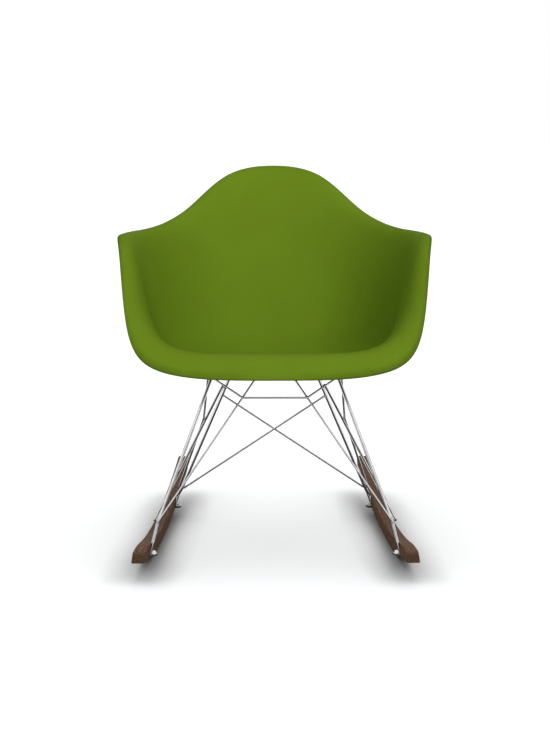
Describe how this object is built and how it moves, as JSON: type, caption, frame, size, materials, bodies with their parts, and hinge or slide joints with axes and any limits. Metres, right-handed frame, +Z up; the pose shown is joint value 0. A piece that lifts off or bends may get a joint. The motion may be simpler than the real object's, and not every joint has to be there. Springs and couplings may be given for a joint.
{
  "type": "rocking chair",
  "caption": "Rocking armchair with a moulded plastic bucket seat on a welded chromed wire base that is bolted to wooden rockers.",
  "frame": {"origin": "on the floor under the middle of the rockers, at the chair's centre plane", "axes": "+Z up, +X to the right as the chair is seen from the front, and the seat faces -Y"},
  "size_m": [0.6238, 0.76, 0.7652],
  "materials": {
    "shell": "fine-grained satin moulded plastic, olive green",
    "rubber": "matt black rubber",
    "plates": "chromed pressed steel",
    "fasteners": "bright plated steel",
    "wire": "polished chromed steel bar",
    "wood": "dark stained solid wood, satin varnish"
  },
  "bodies": {
    "root": {"shell": "shell", "front_buffer_right": "rubber", "front_buffer_left": "rubber", "rear_buffer_right": "rubber", "rear_buffer_left": "rubber", "front_plate_right": "plates", "front_plate_left": "plates", "rear_plate_right": "plates", "rear_plate_left": "plates", "mounting_screws": "fasteners", "rocker_right": "wood", "rocker_left": "wood", "rocker_bolts": "fasteners", "washers": "fasteners", "cap_nuts": "fasteners", "front_leg_right": "wire", "front_leg_left": "wire", "rear_leg_right": "wire", "rear_leg_left": "wire", "straight_diagonal_right": "wire", "straight_diagonal_left": "wire", "bent_diagonal_right": "wire", "bent_diagonal_left": "wire", "front_arch": "wire", "front_tie": "wire", "rear_cross_a": "wire", "rear_cross_b": "wire"}
  },
  "joints": []
}
